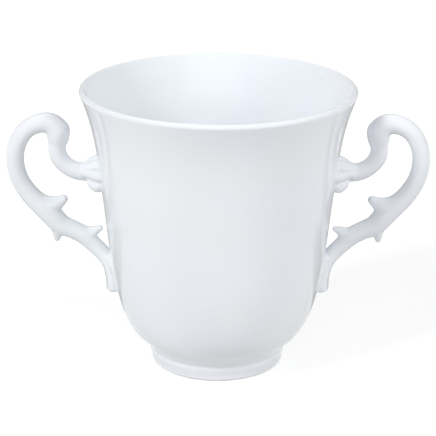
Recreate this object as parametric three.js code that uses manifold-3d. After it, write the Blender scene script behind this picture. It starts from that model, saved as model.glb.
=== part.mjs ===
// Two-handled porcelain soup cup: a flared bowl on a foot ring, with two scroll handles.
// Millimetres, +Z up. The cup stands on z = 0, its axis is Z, and the handles lie along X.

import * as THREE from "three";
import { mergeVertices } from "three/addons/utils/BufferGeometryUtils.js";
import Module from "manifold-3d";

const wasm = await Module();
wasm.setup();

// Bowl
const rimRadius = 47.5;
const cupHeight = 99.8;
const lipThickness = 1.7;
const rimFlareDegrees = 21;
const waistRadius = 40.3;
const waistHeight = 62;
const waistWall = 2.8;
const waistFlareDegrees = 7;
const bellyRadius = 34.9;
const bellyHeight = 24;
const bellyWall = 3.2;
const bellyFlareDegrees = 14.5;
const floorThickness = 3.5;

// Foot ring
const footTopRadius = 24.1;
const footHeight = 4.5;
const footTaper = 0.7;
const footEdgeRound = 1.1;
const footWall = 4.4;
const footRimWidth = 2;
const footFlareDegrees = 26;

// Handles. They are drawn on the line through the wall's two joint points: steps out are measured
// from that line, and steps up from the lower joint on a span of drawnSpan.
const upperJointHeight = 69;
const lowerJointHeight = 36;
const drawnSpan = 33;
const crownOut = 16.6;
const crownUp = 50.9;
const knobRadius = 4.2;
const loopReach = 28.8;
const loopMiddleUp = 36.5;
const loopRadius = 3.1;
const armRadius = 3.1;
const elbowOut = 19;
const elbowUp = 17.8;
const elbowRadius = 3.9;
const stemOut = 8.1;
const stemUp = 9.4;
const stemRadius = 3.3;
const padOut = 0.4;
const padBottomUp = -11.2;
const padRadius = 2.9;
const padHalfWidth = 5.2;
const padEndBulge = 0.6;
const leafTipRadius = 0.9;

// Shells that close the upper joints
const shellLobeDepth = 5;
const shellTopHeight = 6.2;
const shellTopHalfWidth = 5.5;
const shellSideStep = 4.8;
const shellSideRise = 0.4;
const shellSideHeight = 4;
const shellSideHalfWidth = 4;
const shellBottomDrop = 4;
const shellBottomHeight = 3.5;

// Fit: how far a handle or a shell stays off the wall and off its neighbour
const seatGap = 0.3;

// Facets
const turnSegments = 48;
const tubeSides = 12;
const stepsPerStop = 2;
const lobeSegments = 14;

// The outer wall as stations from the foot to the lip. Each has its slope off the vertical, and how
// far the curve holds that slope on either side.
const lipRadius = lipThickness / 2;
const lipCentre = new THREE.Vector2(rimRadius - lipRadius, cupHeight - lipRadius);
const slope = (degrees) => {
  const angle = THREE.MathUtils.degToRad(degrees);
  return new THREE.Vector2(Math.sin(angle), Math.cos(angle));
};
const lipSide = (side) => {
  const along = slope(rimFlareDegrees);
  return new THREE.Vector2(along.y, -along.x).multiplyScalar(side * lipRadius).add(lipCentre);
};
const outerStations = [
  { at: new THREE.Vector2(footTopRadius, footHeight), along: slope(footFlareDegrees), hold: 6.6 },
  { at: new THREE.Vector2(bellyRadius, bellyHeight), along: slope(bellyFlareDegrees), hold: 13 },
  { at: new THREE.Vector2(waistRadius, waistHeight), along: slope(waistFlareDegrees), hold: 13 },
  { at: lipSide(1), along: slope(rimFlareDegrees), hold: 15.5 },
];
const floorTop = footHeight + floorThickness;
const innerStations = [
  { at: new THREE.Vector2(0, floorTop), along: slope(90), hold: bellyRadius * 0.72 },
  { at: new THREE.Vector2(bellyRadius - bellyWall, bellyHeight), along: slope(bellyFlareDegrees), hold: 11 },
  { at: new THREE.Vector2(waistRadius - waistWall, waistHeight), along: slope(waistFlareDegrees), hold: 13 },
  { at: lipSide(-1), along: slope(rimFlareDegrees), hold: 14 },
];

// A smooth curve through the stations, from the first to the last
function stationCurve(stations) {
  const path = new THREE.CurvePath();
  for (let i = 1; i < stations.length; i += 1) {
    const from = stations[i - 1];
    const to = stations[i];
    const leave = from.along.clone().multiplyScalar(from.hold).add(from.at);
    const arrive = to.along.clone().multiplyScalar(-to.hold).add(to.at);
    path.add(new THREE.CubicBezierCurve(from.at, leave, arrive, to.at));
  }
  return path;
}

function curvePoints(path, pointsPerCurve) {
  const points = [];
  for (const curve of path.curves) {
    const found = curve.getPoints(pointsPerCurve);
    points.push(...(points.length > 0 ? found.slice(1) : found));
  }
  return points;
}

const outerWall = curvePoints(stationCurve(outerStations), 7);

// The wall's outer radius at a height
function wallRadius(height) {
  const above = outerWall.findIndex((point) => point.y >= height);
  const top = outerWall[above < 1 ? outerWall.length - 1 : above];
  const bottom = outerWall[above < 1 ? outerWall.length - 2 : above - 1];
  const share = (height - bottom.y) / (top.y - bottom.y);
  return THREE.MathUtils.lerp(bottom.x, top.x, share);
}

function arcPoints(centre, radius, fromDegrees, toDegrees, count) {
  const points = [];
  for (let i = 0; i <= count; i += 1) {
    const angle = THREE.MathUtils.degToRad(THREE.MathUtils.lerp(fromDegrees, toDegrees, i / count));
    const x = centre.x + radius * Math.cos(angle);
    points.push(new THREE.Vector2(x, centre.y + radius * Math.sin(angle)));
  }
  return points;
}

// A full turn of a profile of radius and height about the cup's axis
function turned(profile) {
  return new THREE.LatheGeometry(profile, turnSegments).rotateX(Math.PI / 2);
}

function bowlGeometry() {
  const innerWall = curvePoints(stationCurve(innerStations), 6).reverse();
  const lip = arcPoints(lipCentre, lipRadius, -rimFlareDegrees, 180 - rimFlareDegrees, 6).slice(1, -1);
  const profile = [new THREE.Vector2(0, footHeight), ...outerWall, ...lip, ...innerWall];
  return turned(profile);
}

// The ring stands on its flat rim, and its top meets the bowl's flat underside.
function footGeometry() {
  const edge = new THREE.Vector2(footTopRadius - footTaper - footEdgeRound, footEdgeRound);
  const rim = edge.x - footRimWidth;
  const innerTop = footTopRadius - footWall;
  const profile = [
    new THREE.Vector2(innerTop, footHeight),
    new THREE.Vector2((innerTop + rim) / 2, footHeight / 2),
    new THREE.Vector2(rim - footEdgeRound / 3, footEdgeRound / 3),
    new THREE.Vector2(rim, 0),
    ...arcPoints(edge, footEdgeRound, -90, 0, 4),
    new THREE.Vector2(footTopRadius, footHeight),
    new THREE.Vector2(innerTop, footHeight),
  ];
  return turned(profile);
}

function toSolid(geometry) {
  const bare = geometry.clone();
  bare.deleteAttribute("normal");
  bare.deleteAttribute("uv");
  const merged = mergeVertices(bare, 1e-4);
  const mesh = new wasm.Mesh({
    numProp: 3,
    vertProperties: new Float32Array(merged.attributes.position.array),
    triVerts: new Uint32Array(merged.index.array),
  });
  return new wasm.Manifold(mesh);
}

function toGeometry(solid) {
  const mesh = solid.getMesh();
  const geometry = new THREE.BufferGeometry();
  geometry.setAttribute("position", new THREE.BufferAttribute(new Float32Array(mesh.vertProperties), 3));
  geometry.setIndex(new THREE.BufferAttribute(new Uint32Array(mesh.triVerts), 1));
  geometry.computeVertexNormals();
  return geometry;
}

// The space that the bowl and its clearance take up, which handles and shells are cut back from
function wallCutter() {
  const outline = outerWall.map((point) => new THREE.Vector2(point.x + seatGap, point.y));
  const profile = [
    new THREE.Vector2(0, footHeight),
    ...outline,
    new THREE.Vector2(0, outerWall[outerWall.length - 1].y),
  ];
  return toSolid(turned(profile));
}

// A round-ended stem in the plane y = 0. Each stop has its place, its radius in that plane, and its
// half-width across the plane where that differs. The end bulges by a share of its radius.
function stemGeometry(stops, clearance = 0, endBulge = 1) {
  const centres = new THREE.CatmullRomCurve3(stops.map((stop) => new THREE.Vector3(stop.x, 0, stop.z)));
  const sizes = new THREE.CatmullRomCurve3(
    stops.map((stop) => new THREE.Vector3(stop.radius, stop.halfWidth, 0)),
    false,
    "catmullrom",
  );
  const length = 2;
  const geometry = new THREE.CapsuleGeometry(1, length, 3, tubeSides, (stops.length - 1) * stepsPerStop);
  const position = geometry.attributes.position;
  for (let i = 0; i < position.count; i += 1) {
    const along = THREE.MathUtils.clamp(position.getY(i), -length / 2, length / 2);
    const share = along / length + 0.5;
    const centre = centres.getPoint(share);
    const tangent = centres.getTangent(share);
    const size = sizes.getPoint(share);
    const bulge = share > 0.5 ? endBulge : 1;
    const beyond = (position.getY(i) - along) * (size.x + clearance) * bulge;
    const across = position.getX(i) * (size.x + clearance);
    const x = centre.x + tangent.z * across + tangent.x * beyond;
    const y = -position.getZ(i) * (size.y + clearance);
    position.setXYZ(i, x, y, centre.z - tangent.x * across + tangent.z * beyond);
  }
  return geometry;
}

const upperWall = wallRadius(upperJointHeight);
const lowerWall = wallRadius(lowerJointHeight);

// A stop of a stem, from its steps out and up in the handle's drawing
function stop(out, up, radius, halfWidth = radius) {
  const share = up / drawnSpan;
  const x = THREE.MathUtils.lerp(lowerWall, upperWall, share) + out;
  const z = THREE.MathUtils.lerp(lowerJointHeight, upperJointHeight, share);
  return { x, z, radius, halfWidth };
}

// The big scroll, from inside the knob over the crown, down the loop and in to the pad on the wall
const scrollStops = [
  stop(crownOut - 4, crownUp - 2.7, knobRadius * 0.98),
  stop(crownOut - 2.3, crownUp - 0.9, knobRadius * 0.94),
  stop(crownOut, crownUp, knobRadius * 0.87),
  stop(crownOut + 5, crownUp - 1.5, loopRadius * 1.03),
  stop(loopReach - 3.2, crownUp - 5, loopRadius),
  stop(loopReach - 0.1, loopMiddleUp + 2.2, loopRadius),
  stop(loopReach, loopMiddleUp - 2.9, loopRadius),
  stop(loopReach - 1.1, loopMiddleUp - 7.6, loopRadius),
  stop(loopReach - 3.8, loopMiddleUp - 12.3, loopRadius * 1.07),
  stop(elbowOut + 3.2, elbowUp + 3.3, elbowRadius * 0.9),
  stop(elbowOut, elbowUp, elbowRadius),
  stop(elbowOut - 3, elbowUp - 3.4, elbowRadius * 0.93),
  stop(stemOut + 4.2, stemUp + 2.7, stemRadius * 1.02),
  stop(stemOut, stemUp, stemRadius),
  stop(stemOut - 2.6, stemUp - 3.3, stemRadius * 0.9),
  stop(padOut + 2.6, stemUp - 6.6, padRadius, padHalfWidth * 0.65),
  stop(padOut + 0.6, padBottomUp + 10.6, padRadius, padHalfWidth * 0.85),
  stop(padOut + 0.1, padBottomUp + 6.8, padRadius, padHalfWidth),
  stop(padOut, padBottomUp + padRadius * padEndBulge, padRadius, padHalfWidth),
];

// The knob's lower half, which tapers down onto the arm
const knobStops = [
  stop(crownOut - 4.1, crownUp - 2.7, knobRadius),
  stop(crownOut - 3.7, crownUp - 5.2, knobRadius * 0.92),
  stop(crownOut - 3.2, crownUp - 7.4, armRadius),
];

// The arm, from inside the shell out and up to end in the knob
const armRise = crownUp - drawnSpan;
const armStops = [
  stop(-3.6, drawnSpan + 0.3, armRadius * 1.1),
  stop(2.9, drawnSpan + 0.2, armRadius * 1.1),
  stop(crownOut - 8.7, drawnSpan + 0.6, armRadius),
  stop(crownOut - 5.4, drawnSpan + armRise * 0.13, armRadius),
  stop(crownOut - 3.3, drawnSpan + armRise * 0.3, armRadius),
  stop(crownOut - 2.9, drawnSpan + armRise * 0.49, armRadius),
  stop(crownOut - 3.5, drawnSpan + armRise * 0.69, armRadius * 0.9),
];

// Three leaf points: two curl up on the inside of the stem, and one hangs from its outside.
const leaves = [
  [
    stop(elbowOut + 2.6, elbowUp + 3, elbowRadius * 0.95),
    stop(elbowOut - 0.8, elbowUp + 3.1, elbowRadius * 0.85),
    stop(elbowOut - 3.1, elbowUp + 4.1, leafTipRadius * 2.6),
    stop(elbowOut - 5, elbowUp + 5.4, leafTipRadius * 1.4),
  ],
  [
    stop(stemOut + 0.5, stemUp + 0.4, stemRadius * 0.9),
    stop(stemOut - 2.1, stemUp + 1.4, leafTipRadius * 2.5),
    stop(stemOut - 3.8, stemUp + 2.6, leafTipRadius * 1.3),
    stop(stemOut - 5, stemUp + 3, leafTipRadius),
  ],
  [
    stop(elbowOut - 2.4, elbowUp - 3.6, elbowRadius * 0.9),
    stop(elbowOut - 1.5, elbowUp - 6, leafTipRadius * 2.7),
    stop(elbowOut - 0.8, elbowUp - 8.1, leafTipRadius * 1.35),
    stop(elbowOut - 0.7, elbowUp - 9.4, leafTipRadius * 0.7),
  ],
];

function handleSolid() {
  let solid = toSolid(stemGeometry(scrollStops, 0, padEndBulge));
  for (const stops of [knobStops, armStops, ...leaves]) {
    solid = solid.add(toSolid(stemGeometry(stops)));
  }
  return solid.subtract(wallCutter());
}

// One rounded lobe of a shell, sunk in the wall at a step up from the joint and a step to the side
function shellLobe(up, sideStep, height, halfWidth, proud) {
  const z = upperJointHeight + up;
  const wall = Math.sqrt(wallRadius(z) ** 2 - sideStep ** 2);
  const geometry = new THREE.SphereGeometry(1, lobeSegments, lobeSegments / 2);
  geometry.rotateX(Math.PI / 2);
  geometry.scale(shellLobeDepth, halfWidth, height);
  geometry.translate(wall + proud - shellLobeDepth, sideStep, z);
  return toSolid(geometry);
}

// A shell: an upper lobe, one on either side and one below, with the arm's clearance cut through
function shellSolid() {
  return shellLobe(0, 0, shellTopHeight, shellTopHalfWidth, shellLobeDepth * 1.2)
    .add(shellLobe(shellSideRise, shellSideStep, shellSideHeight, shellSideHalfWidth, shellLobeDepth * 0.8))
    .add(shellLobe(shellSideRise, -shellSideStep, shellSideHeight, shellSideHalfWidth, shellLobeDepth * 0.8))
    .add(shellLobe(-shellBottomDrop, 0, shellBottomHeight, shellTopHalfWidth * 0.8, shellLobeDepth * 0.7))
    .subtract(wallCutter())
    .subtract(toSolid(stemGeometry(armStops, seatGap)));
}

const glazed = { color: 0xeef1f5, roughness: 0.12, metalness: 0 };
const cup = new THREE.Group();

function addPiece(name, geometry, parent = cup) {
  const piece = new THREE.Mesh(geometry, new THREE.MeshStandardMaterial(glazed));
  piece.name = name;
  parent.add(piece);
  return piece;
}

addPiece("bowl", bowlGeometry());
addPiece("foot_ring", footGeometry());

const handle = toGeometry(handleSolid());
const shell = toGeometry(shellSolid());
for (const [side, turn] of [["right", 0], ["left", Math.PI]]) {
  const place = new THREE.Group();
  place.rotation.z = turn;
  addPiece(`${side}_handle`, handle, place);
  addPiece(`${side}_shell`, shell, place);
  cup.add(place);
}

export default cup;
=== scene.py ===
import math

import bmesh
import bpy
from mathutils import Matrix, Vector
from mathutils.geometry import interpolate_bezier


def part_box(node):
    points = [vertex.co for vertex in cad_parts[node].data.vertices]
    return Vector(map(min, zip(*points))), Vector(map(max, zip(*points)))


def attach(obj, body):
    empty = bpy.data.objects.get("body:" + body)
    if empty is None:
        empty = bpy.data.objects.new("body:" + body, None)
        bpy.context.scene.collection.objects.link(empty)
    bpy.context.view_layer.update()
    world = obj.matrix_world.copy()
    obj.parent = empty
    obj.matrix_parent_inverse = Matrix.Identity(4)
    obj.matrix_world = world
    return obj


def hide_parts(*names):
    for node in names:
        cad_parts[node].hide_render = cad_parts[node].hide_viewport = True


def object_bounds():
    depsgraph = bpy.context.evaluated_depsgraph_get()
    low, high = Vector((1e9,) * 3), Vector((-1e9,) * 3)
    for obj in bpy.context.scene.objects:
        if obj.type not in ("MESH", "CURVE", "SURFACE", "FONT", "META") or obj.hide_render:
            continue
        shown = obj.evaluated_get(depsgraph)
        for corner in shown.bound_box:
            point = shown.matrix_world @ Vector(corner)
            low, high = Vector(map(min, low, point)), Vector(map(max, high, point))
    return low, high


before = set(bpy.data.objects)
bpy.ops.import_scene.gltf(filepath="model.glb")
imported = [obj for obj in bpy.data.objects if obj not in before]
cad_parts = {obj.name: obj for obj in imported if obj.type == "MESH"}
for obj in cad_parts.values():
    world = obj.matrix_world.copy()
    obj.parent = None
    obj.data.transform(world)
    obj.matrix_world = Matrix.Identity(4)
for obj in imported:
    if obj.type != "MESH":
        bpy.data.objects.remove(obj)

# Camera. It stands in front of the cup and looks down on it a little, from far enough away that
# the rim opens to a shallow oval. The picture leans by a fraction of a degree, as the cup does.
# Lengths were measured on the picture, and one factor brings them to the height of the CAD model.
MM = 0.001
cad_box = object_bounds()
measured_height = 100.07 * MM
to_frame = cad_box[1].z / measured_height
camera_place = Vector((0.07 * MM, -536.2 * MM, 245.5 * MM)) * to_frame
camera_pitch = math.radians(90 - 19.82)
camera_lean = math.radians(0.379)

camera_data = bpy.data.cameras.new("camera")
camera_data.sensor_fit = "HORIZONTAL"
camera_data.sensor_width = 36
camera_data.lens = 134.05
camera = bpy.data.objects.new("camera", camera_data)
camera.matrix_world = (
    Matrix.Translation(camera_place)
    @ Matrix.Rotation(camera_pitch, 4, "X")
    @ Matrix.Rotation(camera_lean, 4, "Z")
)
bpy.context.scene.collection.objects.link(camera)
bpy.context.scene.camera = camera
bpy.context.scene.view_settings.view_transform = "Standard"


# Bowl. One thrown or jiggered wall of hard porcelain, thin at the lip and thicker at the belly,
# flared like a bell, with the whole inside, the lip and the outside under one clear glaze.
rim_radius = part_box("bowl")[1].x
rim_height = measured_height
foot_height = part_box("bowl")[0].z
lip_outer_round = 1.2 * MM
lip_inner_round = 0.45 * MM
rim_flare = 21
waist_radius = 40.3 * MM
waist_height = 62 * MM
waist_wall = 2.8 * MM
waist_flare = 7
belly_radius = 34.9 * MM
belly_height = 24 * MM
belly_wall = 3.2 * MM
belly_flare = 14.5
foot_top_radius = 24.1 * MM
crease_height = 5.4 * MM
crease_top = Vector((24.75 * MM, 6.6 * MM, 0))
crease_lean = 3
crease_flare = 35
floor_thickness = 3.5 * MM
recess_rise = 0.5 * MM
foot_wall = 4.4 * MM
longest_hold = 0.65
turn_steps = 256
point_spacing = 1.4 * MM
fewest_points = 6
weld_distance = 0.001 * MM
sharp_angle = math.radians(50)


def finished(name, mesh, node, material):
    """A named piece made from a bmesh, which stands for a CAD node."""
    bmesh.ops.scale(mesh, vec=(to_frame, to_frame, to_frame), verts=mesh.verts)
    data = bpy.data.meshes.new(name)
    mesh.to_mesh(data)
    mesh.free()
    data.shade_smooth()
    data.set_sharp_from_angle(angle=sharp_angle)
    data.materials.append(material)
    piece = bpy.data.objects.new(name, data)
    bpy.context.scene.collection.objects.link(piece)
    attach(piece, "root")
    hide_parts(node)
    return piece


def slope(degrees):
    """The direction in the (radius, height) plane that leans out from the vertical."""
    return Vector((math.sin(math.radians(degrees)), math.cos(math.radians(degrees)), 0))


def station_points(stations):
    """Points along a smooth wall through its stations, each with place, lean and hold."""
    points = []
    for (start, start_lean, start_hold), (end, end_lean, end_hold) in zip(stations, stations[1:]):
        leave = start + slope(start_lean) * min(start_hold, (end - start).length * longest_hold)
        arrive = end - slope(end_lean) * min(end_hold, (end - start).length * longest_hold)
        count = math.ceil(fewest_points + (end - start).length / point_spacing)
        span = interpolate_bezier(start, leave, arrive, end, count)
        points.extend(span[1:] if points else span)
    return points


def turned(points, close_to_axis=False):
    """A bmesh that is the outline of (radius, height) points turned once about the cup's axis."""
    mesh = bmesh.new()
    verts = [mesh.verts.new((point.x, 0, point.y)) for point in points]
    edges = [mesh.edges.new(pair) for pair in zip(verts, verts[1:])]
    if not close_to_axis:
        edges.append(mesh.edges.new((verts[-1], verts[0])))
    bmesh.ops.spin(
        mesh,
        geom=verts + edges,
        cent=(0, 0, 0),
        axis=(0, 0, 1),
        dvec=(0, 0, 0),
        angle=math.tau,
        steps=turn_steps,
        use_merge=True,
        use_duplicate=False,
    )
    bmesh.ops.remove_doubles(mesh, verts=mesh.verts, dist=weld_distance)
    bmesh.ops.recalc_face_normals(mesh, faces=mesh.faces)
    return mesh


def corner_arc(centre, radius, first, last, steps):
    """Points round a corner of the outline, from one angle above the horizontal to another."""
    angles = [math.radians(first + (last - first) * step / steps) for step in range(steps + 1)]
    return [centre + Vector((math.cos(angle), math.sin(angle), 0)) * radius for angle in angles]


crest_radius = rim_radius - lip_outer_round
lip_outer = corner_arc(
    Vector((crest_radius, rim_height - lip_outer_round, 0)), lip_outer_round, -rim_flare, 90, 12
)
lip_inner = corner_arc(
    Vector((crest_radius, rim_height - lip_inner_round, 0)), lip_inner_round, 90, 180 - rim_flare, 6
)
outer_stations = [
    (Vector((foot_top_radius, foot_height, 0)), crease_lean, 0.1 * MM),
    (Vector((foot_top_radius, crease_height, 0)), crease_lean, 0.45 * MM),
    (crease_top, crease_flare, 6 * MM),
    (Vector((belly_radius, belly_height, 0)), belly_flare, 13 * MM),
    (Vector((waist_radius, waist_height, 0)), waist_flare, 13 * MM),
    (lip_outer[0], rim_flare, 15 * MM),
]
inner_stations = [
    (Vector((0, foot_height + floor_thickness, 0)), 90, belly_radius * 0.72),
    (Vector((belly_radius - belly_wall, belly_height, 0)), belly_flare, 11 * MM),
    (Vector((waist_radius - waist_wall, waist_height, 0)), waist_flare, 13 * MM),
    (lip_inner[-1], rim_flare, 14 * MM),
]
outer_wall = station_points(outer_stations)
inner_wall = station_points(inner_stations)

# Under the floor a shallow recess rises to the middle, inside the ring.
recess = [
    Vector((0, foot_height + recess_rise, 0)),
    Vector((foot_top_radius * 0.5, foot_height + recess_rise * 0.75, 0)),
    Vector((foot_top_radius - foot_wall * 1.2, foot_height, 0)),
]
bowl_outline = recess + outer_wall[:-1] + lip_outer + lip_inner[1:] + inner_wall[-2::-1]


def textured(nodes, links, kind, scale, detail=None):
    """A noise or cell pattern fixed to the object, with its scale in repeats a metre."""
    place = nodes.new("ShaderNodeTexCoord")
    pattern = nodes.new(kind)
    pattern.inputs["Scale"].default_value = scale
    if detail is not None:
        pattern.inputs["Detail"].default_value = detail
    links.new(place.outputs["Object"], pattern.inputs["Vector"])
    return pattern


def blend(nodes, links, factor, first, second):
    """A mix of two colours, where a colour is four numbers or another node's output."""
    mix = nodes.new("ShaderNodeMix")
    mix.data_type = "RGBA"
    links.new(factor, mix.inputs["Factor"])
    for colour, socket in ((first, mix.inputs["A"]), (second, mix.inputs["B"])):
        if isinstance(colour, tuple):
            socket.default_value = colour
        else:
            links.new(colour, socket)
    return mix.outputs["Result"]


def ranged(nodes, links, value, low, high, from_low=0, from_high=1):
    """A value brought from one range to another, and kept inside it."""
    ramp = nodes.new("ShaderNodeMapRange")
    ramp.inputs["From Min"].default_value = from_low
    ramp.inputs["From Max"].default_value = from_high
    ramp.inputs["To Min"].default_value = low
    ramp.inputs["To Max"].default_value = high
    links.new(value, ramp.inputs["Value"])
    return ramp.outputs["Result"]


cool_white = (0.860, 0.893, 0.941, 1)
warm_white = (0.872, 0.908, 0.920, 1)
drifting_white = (0.878, 0.890, 0.940, 1)
# The darker blue-grey of glaze gathered in corners, which also serves as painted shade there.
pooled_glaze_and_painted_shade = (0.80, 0.86, 0.895, 1)
iron_brown = (0.36, 0.32, 0.27, 1)
pool_and_shade_reach = 2.5 * MM
glaze_waves = 0.15 * MM
glaze_ripples = 0.02 * MM


def glazed_porcelain(name):
    """White porcelain under clear glaze: mottled by a few shades, with rare dark iron specks, glaze
    that gathers blue in the corners, where the darker tint is also painted shade, and a skin that is
    smooth but not quite flat."""
    material = bpy.data.materials.new(name)
    material.use_nodes = True
    nodes = material.node_tree.nodes
    links = material.node_tree.links
    shader = nodes["Principled BSDF"]
    shader.inputs["IOR"].default_value = 1.5

    cloud = textured(nodes, links, "ShaderNodeTexNoise", 26, 2)
    cloud_share = ranged(nodes, links, cloud.outputs["Fac"], 0, 1, 0.35, 0.65)
    tone = blend(nodes, links, cloud_share, cool_white, warm_white)
    drift = textured(nodes, links, "ShaderNodeTexNoise", 14, 1)
    drift_share = ranged(nodes, links, drift.outputs["Fac"], 0, 0.8, 0.4, 0.65)
    tone = blend(nodes, links, drift_share, tone, drifting_white)

    # Corners and creases are tinted darker by ambient occlusion: part glaze pooling, part painted
    # shade.
    corner = nodes.new("ShaderNodeAmbientOcclusion")
    corner.samples = 8
    corner.inputs["Distance"].default_value = pool_and_shade_reach
    pooled_and_painted_shade = ranged(nodes, links, corner.outputs["AO"], 0.25, 0, 0, 0.6)
    tone = blend(nodes, links, pooled_and_painted_shade, tone, pooled_glaze_and_painted_shade)

    cells = textured(nodes, links, "ShaderNodeTexVoronoi", 300)
    size_share = ranged(nodes, links, cells.outputs["Distance"], 1, 0, 0.045, 0.085)
    chance = nodes.new("ShaderNodeSeparateColor")
    links.new(cells.outputs["Color"], chance.inputs["Color"])
    rare = ranged(nodes, links, chance.outputs["Red"], 0, 0.6, 0.965, 0.98)
    speck = nodes.new("ShaderNodeMath")
    speck.operation = "MULTIPLY"
    links.new(size_share, speck.inputs[0])
    links.new(rare, speck.inputs[1])
    tone = blend(nodes, links, speck.outputs["Value"], tone, iron_brown)
    links.new(tone, shader.inputs["Base Color"])

    wear = textured(nodes, links, "ShaderNodeTexNoise", 60, 4)
    gloss = ranged(nodes, links, wear.outputs["Fac"], 0.06, 0.11, 0.35, 0.7)
    links.new(gloss, shader.inputs["Roughness"])

    pull = textured(nodes, links, "ShaderNodeTexNoise", 55, 1)
    broad = nodes.new("ShaderNodeBump")
    broad.inputs["Strength"].default_value = 0.3
    broad.inputs["Distance"].default_value = glaze_waves
    links.new(pull.outputs["Fac"], broad.inputs["Height"])
    ripple = textured(nodes, links, "ShaderNodeTexNoise", 420, 2)
    fine = nodes.new("ShaderNodeBump")
    fine.inputs["Strength"].default_value = 0.12
    fine.inputs["Distance"].default_value = glaze_ripples
    links.new(ripple.outputs["Fac"], fine.inputs["Height"])
    links.new(broad.outputs["Normal"], fine.inputs["Normal"])
    links.new(fine.outputs["Normal"], shader.inputs["Normal"])
    return material


porcelain = glazed_porcelain("glazed_porcelain")
bowl = finished("bowl_porcelain", turned(bowl_outline, close_to_axis=True), "bowl", porcelain)


# Foot ring. A low ring turned or luted on under the bowl, glazed but for the flat rim it stands
# on, which is wiped bare so that the cup doesn't stick to the kiln shelf.
foot_taper = 0.7 * MM
foot_edge_round = 1.1 * MM
foot_rim_width = 2 * MM
glaze_stop = 0.25 * MM
glaze_edge = 0.08 * MM
bare_body_dark = (0.62, 0.60, 0.56, 1)
bare_body_light = (0.84, 0.82, 0.78, 1)

edge_centre = Vector((foot_top_radius - foot_taper - foot_edge_round, foot_edge_round, 0))
rim_inner = edge_centre.x - foot_rim_width
ring_inner = foot_top_radius - foot_wall
edge_arc = corner_arc(edge_centre, foot_edge_round, -90, 0, 6)
outer_face = interpolate_bezier(
    edge_arc[-1],
    edge_arc[-1] + Vector((0.1 * MM, 1.2 * MM, 0)),
    Vector((foot_top_radius, foot_height, 0)) - slope(crease_lean) * 0.8 * MM,
    Vector((foot_top_radius, foot_height, 0)),
    12,
)
inner_face = interpolate_bezier(
    Vector((ring_inner, foot_height, 0)),
    Vector((ring_inner, foot_height / 2, 0)),
    Vector((rim_inner - 0.2 * MM, foot_height * 0.3, 0)),
    Vector((rim_inner, 0, 0)),
    12,
)
foot_outline = inner_face + edge_arc + outer_face[1:]


def bare_rim(material):
    """Wipes the glaze off the rim: the bare body is matt, warmer and a little grey with use."""
    nodes = material.node_tree.nodes
    links = material.node_tree.links
    shader = nodes["Principled BSDF"]
    place = nodes.new("ShaderNodeTexCoord")
    split = nodes.new("ShaderNodeSeparateXYZ")
    links.new(place.outputs["Object"], split.inputs["Vector"])
    wiped = ranged(
        nodes, links, split.outputs["Z"], 1, 0, glaze_stop - glaze_edge, glaze_stop + glaze_edge
    )
    grit = textured(nodes, links, "ShaderNodeTexNoise", 900, 4)
    body = blend(nodes, links, grit.outputs["Fac"], bare_body_dark, bare_body_light)
    glazed_tone = shader.inputs["Base Color"].links[0].from_socket
    links.new(blend(nodes, links, wiped, glazed_tone, body), shader.inputs["Base Color"])
    matt = nodes.new("ShaderNodeMath")
    matt.operation = "MAXIMUM"
    links.new(shader.inputs["Roughness"].links[0].from_socket, matt.inputs[0])
    links.new(ranged(nodes, links, wiped, 0, 0.8), matt.inputs[1])
    links.new(matt.outputs["Value"], shader.inputs["Roughness"])
    return material


foot_porcelain = bare_rim(glazed_porcelain("foot_porcelain"))
foot = finished("foot_ring_porcelain", turned(foot_outline), "foot_ring", foot_porcelain)


# Handles. Each is slip-cast in a two-part mould as one rounded scroll with leaf points, then luted
# to the wall with slip, which leaves a soft fillet where it meets the bowl. The shell that closes
# the upper joint is pressed round the arm in the same way. All sizes in this section are in mm.
section_sides = 32
rings_to_a_stop = 4
cap_angles = [math.radians(8 + 18 * step) for step in range(5)]
pad_end_bulge = 0.6
voxel = 0.3
fillet_passes = 12
upper_joint = 69.3
seat_depth = 0.15
patch_depth = 0.3
patch_thickness = 1.8
patch_half_angle = 24
patch_span = (19, 84)
patch_steps = 30
shell_reach = 48.6
shell_foot = 58
hand_fit = {"right": 0.15, "left": -0.15}


def along(stops):
    """Places between stops on a smooth curve: each is (out, up, radius, half-width)."""
    stops = [Vector(stop if len(stop) == 4 else (*stop, stop[2])) for stop in stops]
    places = []
    for index in range(len(stops) - 1):
        before, start, end = stops[max(index - 1, 0)], stops[index], stops[index + 1]
        after = stops[min(index + 2, len(stops) - 1)]
        for step in range(rings_to_a_stop):
            share = step / rings_to_a_stop
            places.append(
                start
                + (end - before) * (share / 2)
                + (before * 2 - start * 5 + end * 4 - after) * (share**2 / 2)
                + (start * 3 - before - end * 3 + after) * (share**3 / 2)
            )
    return places + [stops[-1]]


def add_ring(mesh, place, tangent, shift, share):
    """Adds one round section of a stem, square to its tangent."""
    lean = Matrix(((tangent.y, 0, tangent.x), (0, 1, 0), (-tangent.x, 0, tangent.y)))
    size = Matrix.Diagonal((place[2] * share, place[3] * share, 1))
    centre = Vector((place[0] + tangent.x * shift, 0, place[1] + tangent.y * shift))
    matrix = Matrix.Translation(centre * MM) @ (lean @ size).to_4x4()
    ring = bmesh.ops.create_circle(
        mesh, cap_ends=False, radius=MM, segments=section_sides, matrix=matrix
    )
    return ring["verts"]


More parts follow.
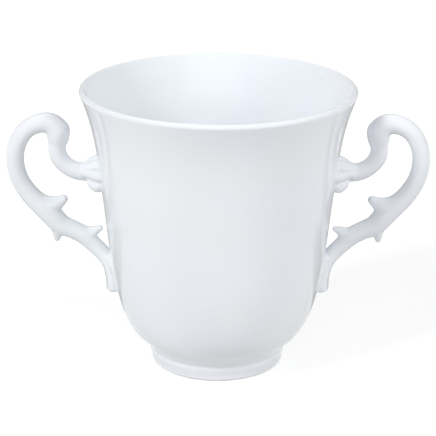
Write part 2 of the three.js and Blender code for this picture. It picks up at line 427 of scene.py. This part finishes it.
def add_stem(mesh, stops, bulge=1, placed=Matrix.Identity(4)):
    """Adds a closed stem with round ends, which bends in the plane y = 0 before it is placed."""
    places = along(stops)
    tangents = [
        (ahead.xy - behind.xy).normalized()
        for behind, ahead in zip([places[0]] + places[:-1], places[1:] + [places[-1]])
    ]
    rings = [
        add_ring(mesh, places[0], tangents[0], -places[0][2] * math.cos(angle), math.sin(angle))
        for angle in cap_angles
    ]
    rings += [add_ring(mesh, place, tangent, 0, 1) for place, tangent in zip(places, tangents)]
    rings += [
        add_ring(
            mesh, places[-1], tangents[-1], places[-1][2] * bulge * math.cos(angle), math.sin(angle)
        )
        for angle in reversed(cap_angles)
    ]
    loops = [list({edge for vert in ring for edge in vert.link_edges}) for ring in rings]
    for first, second in zip(loops, loops[1:]):
        bmesh.ops.bridge_loops(mesh, edges=first + second)
    bmesh.ops.contextual_create(mesh, geom=loops[0])
    bmesh.ops.contextual_create(mesh, geom=loops[-1])
    bmesh.ops.transform(mesh, matrix=placed, verts=[vert for ring in rings for vert in ring])


# The scroll runs from inside the knob over the crown, down the loop and in to the pad.
scroll_stops = [
    (55.2, 84.0, 4.1),
    (57.0, 86.1, 3.8),
    (59.7, 86.9, 3.5),
    (63.6, 85.9, 3.2),
    (66.9, 83.5, 3.1),
    (69.4, 79.3, 3.1),
    (70.4, 74.5, 3.1),
    (69.9, 69.3, 3.1),
    (68.2, 64.8, 3.15),
    (65.2, 60.3, 3.35),
    (62.0, 57.1, 3.65),
    (58.6, 53.7, 3.85),
    (55.2, 49.8, 3.6),
    (50.4, 47.6, 3.2),
    (47.0, 45.6, 3.2),
    (44.4, 43.0, 2.95),
    (40.9, 39.4, 2.75, 3.2),
    (38.2, 35.6, 2.75, 4.2),
    (36.9, 30.6, 2.8, 5.2),
    (36.8, 26.7, 2.8, 5.2),
]
knob_stops = [(55.2, 83.8, 4.1), (55.3, 81.4, 3.8), (55.6, 79.2, 3.1)]
arm_stops = [
    (37.5, 69.3, 3.1),
    (44.0, 69.2, 3.2),
    (49.0, 69.5, 3.05),
    (53.0, 71.8, 3.0),
    (55.3, 75.0, 3.05),
    (55.8, 78.4, 3.05),
    (55.4, 81.4, 2.8),
]
leaf_stops = [
    [(63.6, 58.4, 3.3), (60.6, 57.0, 3.4), (58.2, 56.9, 3.2), (56.0, 57.8, 2.5), (54.0, 59.1, 1.65)],
    [(49.6, 46.9, 3.1), (47.2, 46.1, 3.0), (44.9, 46.5, 2.5), (43.1, 47.6, 1.7), (41.3, 48.4, 1.1)],
    [(56.6, 51.6, 3.6), (55.6, 49.6, 3.4), (55.9, 48.0, 2.7), (56.4, 46.3, 1.85), (56.6, 44.3, 1.05)],
]
skirt_stops = [
    (38.2, 38.6, 1.3, 4.4),
    (36.7, 35.2, 1.7, 6.8),
    (35.5, 30.5, 1.8, 7.4),
    (34.8, 27.2, 1.7, 6.8),
]

# The shell is a low trumpet round the arm with ribs on it. The ribs fan out, each at its angle
# above the horizontal, through stops of (out from the cup's axis, away from the arm, radius).
trumpet_stops = [
    (49.0, 69.4, 2.9),
    (46.0, 69.4, 3.4, 3.4),
    (44.0, 69.4, 3.9, 4.6),
    (42.4, 69.4, 4.3, 6.2),
    (40.8, 69.0, 4.9, 7.9),
    (39.0, 68.6, 5.3, 8.8),
]
hood_rib = [(47.6, 0.8, 1.8), (46.0, 1.6, 1.8), (44.4, 2.7, 1.9), (42.6, 3.9, 1.9), (40.8, 4.3, 1.9)]
side_rib = [(46.8, 1.7, 1.5), (44.9, 3.6, 1.8), (43.0, 5.7, 2.0), (41.2, 7.5, 2.1), (39.4, 8.6, 2.0)]
cheek_rib = [(44.8, 1.4, 1.7), (43.8, 3.3, 2.0), (42.8, 5.3, 2.4), (41.4, 6.6, 2.6)]
chin_rib = [(44.6, 1.2, 1.8), (43.6, 2.6, 2.2), (42.7, 3.7, 2.5), (41.2, 4.4, 2.7)]
ribs = [(90, hood_rib), (50, hood_rib), (7, side_rib), (-27, cheek_rib), (-90, chin_rib)]


def handle_mesh():
    """The whole right handle with its shell, as overlapping stems in one bmesh."""
    mesh = bmesh.new()
    add_stem(mesh, scroll_stops, bulge=pad_end_bulge)
    for stops in [knob_stops, arm_stops, trumpet_stops, skirt_stops, *leaf_stops]:
        add_stem(mesh, stops)
    for angle, rib in ribs:
        for side in (angle, 180 - angle):
            lift = Matrix.Translation((0, 0, upper_joint * MM))
            fan = Matrix.Rotation(math.radians(90 - side), 4, "X")
            add_stem(mesh, rib, placed=lift @ fan)
    return mesh


def add_wall_patch(mesh):
    """Adds a shallow patch of the wall behind the joints, just under the bowl's own surface."""
    low, high = (height * MM for height in patch_span)
    front = [point for point in outer_wall if low < point.y < high]
    outline = [(point.x - patch_depth * MM, point.y) for point in front]
    outline += [(point.x - patch_thickness * MM, point.y) for point in reversed(front)]
    start = Matrix.Rotation(math.radians(-patch_half_angle), 3, "Z")
    verts = [mesh.verts.new(start @ Vector((radius, 0, height))) for radius, height in outline]
    edges = [mesh.edges.new(pair) for pair in zip(verts, verts[1:] + verts[:1])]
    near_end = bmesh.ops.contextual_create(mesh, geom=edges)["faces"]
    bmesh.ops.spin(
        mesh,
        geom=near_end,
        cent=(0, 0, 0),
        axis=(0, 0, 1),
        dvec=(0, 0, 0),
        angle=math.radians(2 * patch_half_angle),
        steps=patch_steps,
        use_merge=False,
        use_duplicate=False,
    )


def placed_object(name, mesh):
    """A helper object made from a bmesh, which is gone once the handle is fused."""
    data = bpy.data.meshes.new(name)
    mesh.to_mesh(data)
    mesh.free()
    placed = bpy.data.objects.new(name, data)
    bpy.context.scene.collection.objects.link(placed)
    return placed


# The stems are fused to one skin with soft fillets, and cut to the wall a little below its surface.
mesh = handle_mesh()
add_wall_patch(mesh)
bmesh.ops.recalc_face_normals(mesh, faces=mesh.faces)
rough = placed_object("handle_rough", mesh)
seat_outline = [Vector((0, foot_height, 0))]
seat_outline += [point - Vector((seat_depth * MM, 0, 0)) for point in outer_wall]
seat_outline += [Vector((0, rim_height, 0))]
seat = placed_object("seat", turned(seat_outline, close_to_axis=True))
fuse = rough.modifiers.new("fuse", "REMESH")
fuse.mode = "VOXEL"
fuse.voxel_size = voxel * MM
soften = rough.modifiers.new("soften", "SMOOTH")
soften.factor = 0.5
soften.iterations = fillet_passes
fit = rough.modifiers.new("fit", "BOOLEAN")
fit.operation = "DIFFERENCE"
fit.solver = "MANIFOLD"
fit.object = seat
graph = bpy.context.evaluated_depsgraph_get()
fused = bpy.data.meshes.new_from_object(rough.evaluated_get(graph))
for helper in (rough, seat):
    bpy.data.meshes.remove(helper.data)

# The skin is then parted at the shell's reach, turned about the axis for the left side, and set a
# little high or low there, as a hand fits it.
for side, turn in (("right", 0), ("left", math.pi)):
    about_axis = Matrix.Rotation(turn, 3, "Z")
    for part, keep_outer in (("handle", True), ("shell", False)):
        mesh = bmesh.new()
        mesh.from_mesh(fused)
        if not keep_outer:
            lower = [vert for vert in mesh.verts if vert.co.z < shell_foot * MM]
            bmesh.ops.delete(mesh, geom=lower, context="VERTS")
        upper = [vert for vert in mesh.verts if vert.co.z > shell_foot * MM]
        faces = {face for vert in upper for face in vert.link_faces}
        edges = {edge for vert in upper for edge in vert.link_edges}
        bmesh.ops.bisect_plane(
            mesh,
            geom=upper + list(edges) + list(faces),
            dist=weld_distance,
            plane_co=(shell_reach * MM, 0, 0),
            plane_no=(1, 0, 0),
            clear_inner=keep_outer,
            clear_outer=not keep_outer,
        )
        bmesh.ops.remove_doubles(mesh, verts=mesh.verts, dist=2 * weld_distance)
        open_edges = [edge for edge in mesh.edges if edge.is_boundary]
        bmesh.ops.contextual_create(mesh, geom=open_edges)
        bmesh.ops.translate(mesh, vec=(0, 0, hand_fit[side] * MM), verts=mesh.verts)
        bmesh.ops.transform(mesh, matrix=about_axis, verts=mesh.verts)
        finished(f"{side}_{part}_porcelain", mesh, f"{side}_{part}", porcelain)
bpy.data.meshes.remove(fused)


# Studio. A plain white floor in a pale room, with soft round lamps: a key from the front left, a
# fill from the right, and two broad faint ones from the front and from behind. The key and the fill
# stay out of reflections, where two small high lamps stand in for them and draw the glints.
lamp_distance = 4
lamps = [
    ("key", -52, 36, 1.0, 0.48, False),
    ("fill", 68, 36, 1.1, 0.34, False),
    ("key_glint", -52, 50, 0.7, 0.03, True),
    ("fill_glint", 68, 50, 0.7, 0.02, True),
    ("front", 5, 15, 4.0, 0.2, True),
    ("back", 180, 60, 3.0, 0.08, True),
]
room_low_light = 0.5
room_high_light = 0.28
floor_half_width = 4
floor_tone = (0.55, 0.55, 0.55, 1)
floor_glow = 0.58


def aimed_lamp(name, azimuth, elevation, width, level, in_reflections):
    """A round lamp aimed at the cup. A level of 1 alone shows a colour that faces it as written."""
    data = bpy.data.lights.new(name, "AREA")
    data.shape = "DISK"
    data.size = width
    data.energy = level * math.pi**2 * lamp_distance**2
    lamp = bpy.data.objects.new(name, data)
    lamp.matrix_world = (
        Matrix.Translation((0, 0, rim_height / 2))
        @ Matrix.Rotation(math.radians(azimuth), 4, "Z")
        @ Matrix.Rotation(math.radians(90 - elevation), 4, "X")
        @ Matrix.Translation((0, 0, lamp_distance))
    )
    lamp.visible_glossy = in_reflections
    bpy.context.scene.collection.objects.link(lamp)


for settings in lamps:
    aimed_lamp(*settings)

floor_mesh = bmesh.new()
bmesh.ops.create_grid(floor_mesh, x_segments=1, y_segments=1, size=floor_half_width)
floor_data = bpy.data.meshes.new("floor")
floor_mesh.to_mesh(floor_data)
floor_mesh.free()
paper = bpy.data.materials.new("floor_paper")
paper.use_nodes = True
paper_nodes = paper.node_tree.nodes
paper_links = paper.node_tree.links
paper_shader = paper_nodes["Principled BSDF"]
paper_shader.inputs["Base Color"].default_value = floor_tone
paper_shader.inputs["Roughness"].default_value = 1
paper_shader.inputs["Specular IOR Level"].default_value = 0
paper_shader.inputs["Emission Color"].default_value = (1, 1, 1, 1)
# The floor glows only where the camera, a reflection or a clear thing sees it.
rays = paper_nodes.new("ShaderNodeLightPath")
seen = rays.outputs["Is Camera Ray"]
for kind in ("Is Glossy Ray", "Is Transmission Ray"):
    either = paper_nodes.new("ShaderNodeMath")
    either.operation = "MAXIMUM"
    paper_links.new(seen, either.inputs[0])
    paper_links.new(rays.outputs[kind], either.inputs[1])
    seen = either.outputs["Value"]
glow = paper_nodes.new("ShaderNodeMath")
glow.operation = "MULTIPLY"
glow.inputs[1].default_value = floor_glow
paper_links.new(seen, glow.inputs[0])
paper_links.new(glow.outputs["Value"], paper_shader.inputs["Emission Strength"])
floor_data.materials.append(paper)
floor = bpy.data.objects.new("floor", floor_data)
bpy.context.scene.collection.objects.link(floor)

# A grey card lies and stands close behind the cup, where only reflections see it. It draws the
# thin dark edges of the glaze against the white floor, as a photographer's card does.
card_half_width = 0.13
card_half_height = 0.15
card_half_depth = 0.065
card_back = 0.16
card_lift = 0.001
card_tone = (0.5, 0.5, 0.5, 1)
card_mesh = bmesh.new()
standing = Matrix.Translation((0, card_back, card_half_height)) @ Matrix.Rotation(math.pi / 2, 4, "X")
lying = Matrix.Translation((0, card_back - card_half_depth, card_lift))
for placed, half_length in ((standing, card_half_height), (lying, card_half_depth)):
    size = Matrix.Diagonal((card_half_width, half_length, 1, 1))
    bmesh.ops.create_grid(card_mesh, x_segments=1, y_segments=1, size=1, matrix=placed @ size)
card_data = bpy.data.meshes.new("card")
card_mesh.to_mesh(card_data)
card_mesh.free()
card_paper = bpy.data.materials.new("grey_card")
card_paper.use_nodes = True
card_shader = card_paper.node_tree.nodes["Principled BSDF"]
card_shader.inputs["Base Color"].default_value = card_tone
card_shader.inputs["Roughness"].default_value = 1
card_shader.inputs["Specular IOR Level"].default_value = 0
card_data.materials.append(card_paper)
card = bpy.data.objects.new("card", card_data)
card.visible_camera = False
card.visible_diffuse = False
card.visible_transmission = False
card.visible_shadow = False
bpy.context.scene.collection.objects.link(card)

# The room looks white to the camera. Its light is a little brighter low down than overhead.
world = bpy.data.worlds.new("studio")
world.use_nodes = True
world_nodes = world.node_tree.nodes
world_links = world.node_tree.links
towards = world_nodes.new("ShaderNodeTexCoord")
height_part = world_nodes.new("ShaderNodeSeparateXYZ")
world_links.new(towards.outputs["Generated"], height_part.inputs["Vector"])
room = world_nodes.new("ShaderNodeMapRange")
room.inputs["To Min"].default_value = room_low_light
room.inputs["To Max"].default_value = room_high_light
world_links.new(height_part.outputs["Z"], room.inputs["Value"])
background = world_nodes["Background"]
background.inputs["Color"].default_value = (1, 1, 1, 1)
looked_at = world_nodes.new("ShaderNodeLightPath")
backdrop = world_nodes.new("ShaderNodeMath")
backdrop.operation = "MAXIMUM"
world_links.new(looked_at.outputs["Is Camera Ray"], backdrop.inputs[0])
world_links.new(room.outputs["Result"], backdrop.inputs[1])
world_links.new(backdrop.outputs["Value"], background.inputs["Strength"])
bpy.context.scene.world = world
